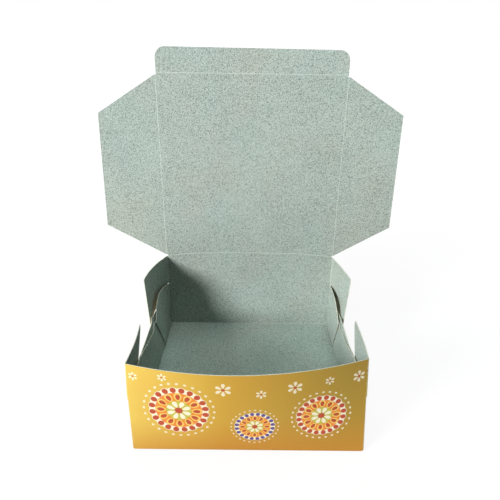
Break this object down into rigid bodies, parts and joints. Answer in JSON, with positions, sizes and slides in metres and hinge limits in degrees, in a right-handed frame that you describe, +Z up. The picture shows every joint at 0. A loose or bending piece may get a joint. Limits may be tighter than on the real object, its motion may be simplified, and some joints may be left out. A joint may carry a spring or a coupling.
{
  "type": "sweet box",
  "caption": "Open folding-board sweet box: square tray with slit corners that lock on the side walls, hinged lid with side flaps and a tuck flap.",
  "frame": {"origin": "middle of the floor's underside, on the table", "axes": "+Z up, -Y towards the front wall, +X to the right seen from the front"},
  "size_m": [0.245, 0.1696, 0.2416],
  "materials": {
    "grey_board": "matte grey back of a coated folding board",
    "printed_board": "coated and printed face, satin"
  },
  "bodies": {
    "floor": {"floor_panel": "grey_board"},
    "lid": {"lid_panel": "grey_board"},
    "front_wall": {"front_wall": "printed_board"},
    "rear_wall": {"rear_wall": "grey_board"},
    "side_wall_left": {"side_wall_left": "grey_board"},
    "side_wall_right": {"side_wall_right": "grey_board"},
    "front_ear_left": {"front_ear_left": "grey_board"},
    "front_ear_right": {"front_ear_right": "grey_board"},
    "rear_ear_left": {"rear_ear_left": "grey_board"},
    "rear_ear_right": {"rear_ear_right": "grey_board"},
    "front_hook_left": {"front_hook_left": "grey_board"},
    "front_hook_right": {"front_hook_right": "grey_board"},
    "rear_hook_left": {"rear_hook_left": "grey_board"},
    "rear_hook_right": {"rear_hook_right": "grey_board"},
    "lid_flap_left": {"lid_flap_left": "grey_board"},
    "lid_flap_right": {"lid_flap_right": "grey_board"},
    "tuck_flap": {"tuck_flap": "grey_board"}
  },
  "joints": [
    {"name": "front_wall_fold", "type": "hinge", "parent": "floor", "child": "front_wall", "pos_m": [0, -0.07772, 0.00028], "axis": [1, 0, 0], "range_deg": [0, 80]},
    {"name": "rear_wall_fold", "type": "hinge", "parent": "floor", "child": "rear_wall", "pos_m": [0, 0.07772, 0.00028], "axis": [-1, 0, 0], "range_deg": [0, 87]},
    {"name": "side_wall_left_fold", "type": "hinge", "parent": "floor", "child": "side_wall_left", "pos_m": [-0.07472, 0, 0.00028], "axis": [0, -1, 0], "range_deg": [0, 90]},
    {"name": "side_wall_right_fold", "type": "hinge", "parent": "floor", "child": "side_wall_right", "pos_m": [0.07472, 0, 0.00028], "axis": [0, 1, 0], "range_deg": [0, 90]},
    {"name": "front_ear_left_swing", "type": "hinge", "parent": "front_wall", "child": "front_ear_left", "pos_m": [-0.0747, -0.07772, 0.00028], "axis": [0, 0.0441, 0.999], "range_deg": [0, 90]},
    {"name": "front_ear_right_swing", "type": "hinge", "parent": "front_wall", "child": "front_ear_right", "pos_m": [0.0747, -0.07772, 0.00028], "axis": [0, -0.0441, -0.999], "range_deg": [0, 90]},
    {"name": "rear_ear_left_swing", "type": "hinge", "parent": "rear_wall", "child": "rear_ear_left", "pos_m": [-0.0747, 0.07772, 0.00028], "axis": [0, -0.0523, -0.9986], "range_deg": [0, 77]},
    {"name": "rear_ear_right_swing", "type": "hinge", "parent": "rear_wall", "child": "rear_ear_right", "pos_m": [0.0747, 0.07772, 0.00028], "axis": [0, 0.0523, 0.9986], "range_deg": [0, 77]},
    {"name": "front_hook_left_swing", "type": "hinge", "parent": "front_wall", "child": "front_hook_left", "pos_m": [-0.07389, -0.07772, 0.00028], "axis": [0, -0.0441, -0.999], "range_deg": [0, 35]},
    {"name": "front_hook_right_swing", "type": "hinge", "parent": "front_wall", "child": "front_hook_right", "pos_m": [0.07389, -0.07772, 0.00028], "axis": [0, 0.0441, 0.999], "range_deg": [0, 35]},
    {"name": "rear_hook_left_swing", "type": "hinge", "parent": "rear_wall", "child": "rear_hook_left", "pos_m": [-0.07389, 0.07772, 0.00028], "axis": [0, 0.0523, 0.9986], "range_deg": [0, 60]},
    {"name": "rear_hook_right_swing", "type": "hinge", "parent": "rear_wall", "child": "rear_hook_right", "pos_m": [0.07389, 0.07772, 0.00028], "axis": [0, -0.0523, -0.9986], "range_deg": [0, 60]},
    {"name": "lid_hinge", "type": "hinge", "parent": "rear_wall", "child": "lid", "pos_m": [0, 0.0813, 0.06858], "axis": [1, 0, 0], "range_deg": [-105, 90]},
    {"name": "tuck_fold", "type": "hinge", "parent": "lid", "child": "tuck_flap", "pos_m": [0, 0.0813, 0.22358], "axis": [1, 0, 0], "range_deg": [-20, 92]},
    {"name": "lid_flap_left_fold", "type": "hinge", "parent": "lid", "child": "lid_flap_left", "pos_m": [-0.074, 0.0813, 0.06858], "axis": [0, 0, 1], "range_deg": [-20, 97]},
    {"name": "lid_flap_right_fold", "type": "hinge", "parent": "lid", "child": "lid_flap_right", "pos_m": [0.074, 0.0813, 0.06858], "axis": [0, 0, -1], "range_deg": [-20, 97]}
  ],
  "couplings": [
    {"joint": "front_ear_left_swing", "follows": "side_wall_left_fold", "ratio": 1},
    {"joint": "rear_ear_left_swing", "follows": "side_wall_left_fold", "ratio": 0.85},
    {"joint": "front_ear_right_swing", "follows": "side_wall_right_fold", "ratio": 1},
    {"joint": "rear_ear_right_swing", "follows": "side_wall_right_fold", "ratio": 0.85}
  ]
}
